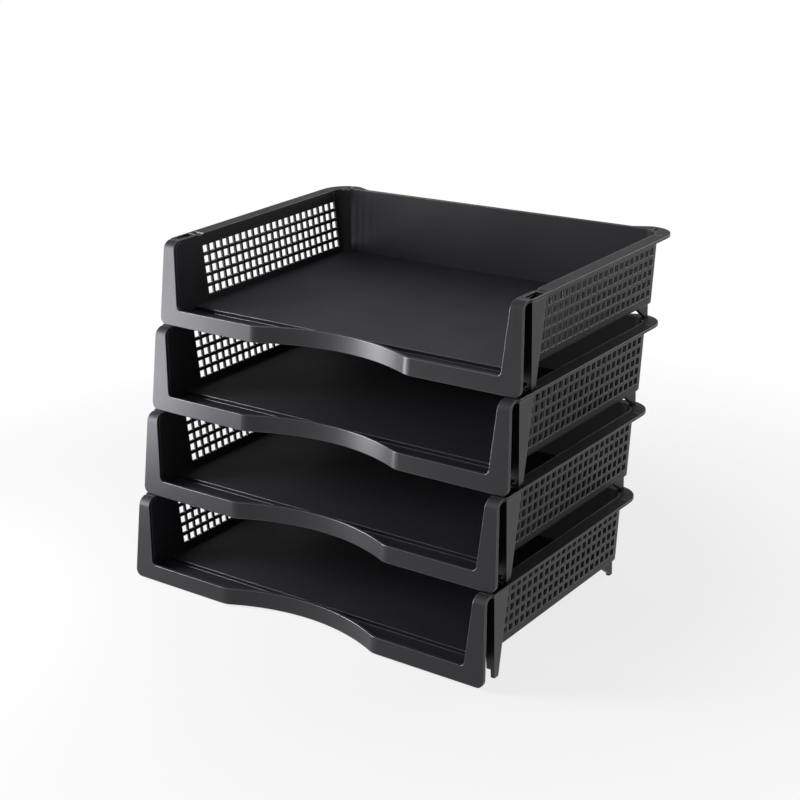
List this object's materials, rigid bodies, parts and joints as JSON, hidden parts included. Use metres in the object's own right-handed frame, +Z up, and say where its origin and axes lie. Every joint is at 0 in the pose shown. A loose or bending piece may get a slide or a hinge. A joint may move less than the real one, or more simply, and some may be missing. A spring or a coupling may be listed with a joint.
{
  "type": "letter tray stack",
  "caption": "Stack of landscape letter trays, each set a little behind the one below, with a finger recess in front, slotted side walls, a wide rim and hollow front legs.",
  "frame": {"origin": "on the table, in the middle of the stack's bounding box", "axes": "+X to the right of a person facing the front, +Y from front to back, +Z up"},
  "size_m": [0.3506, 0.2934, 0.277],
  "materials": {
    "black_plastic": "satin black moulded plastic"
  },
  "bodies": {
    "tray_1": {"tray_1_floor": "black_plastic", "tray_1_back_wall": "black_plastic", "tray_1_left_side": "black_plastic", "tray_1_right_side": "black_plastic", "tray_1_front_frame": "black_plastic", "tray_1_left_front_leg": "black_plastic", "tray_1_right_front_leg": "black_plastic"},
    "tray_2": {"tray_2_floor": "black_plastic", "tray_2_back_wall": "black_plastic", "tray_2_left_side": "black_plastic", "tray_2_right_side": "black_plastic", "tray_2_front_frame": "black_plastic", "tray_2_left_front_leg": "black_plastic", "tray_2_right_front_leg": "black_plastic"},
    "tray_3": {"tray_3_floor": "black_plastic", "tray_3_back_wall": "black_plastic", "tray_3_left_side": "black_plastic", "tray_3_right_side": "black_plastic", "tray_3_front_frame": "black_plastic", "tray_3_left_front_leg": "black_plastic", "tray_3_right_front_leg": "black_plastic"},
    "tray_4": {"tray_4_floor": "black_plastic", "tray_4_back_wall": "black_plastic", "tray_4_left_side": "black_plastic", "tray_4_right_side": "black_plastic", "tray_4_front_frame": "black_plastic", "tray_4_left_front_leg": "black_plastic", "tray_4_right_front_leg": "black_plastic"}
  },
  "joints": [
    {"name": "tray_2_lift", "type": "slide", "parent": "tray_1", "child": "tray_2", "axis": [0, 0, 1], "range_m": [0, 0.08]},
    {"name": "tray_3_lift", "type": "slide", "parent": "tray_2", "child": "tray_3", "axis": [0, 0, 1], "range_m": [0, 0.08]},
    {"name": "tray_4_lift", "type": "slide", "parent": "tray_3", "child": "tray_4", "axis": [0, 0, 1], "range_m": [0, 0.08]}
  ]
}
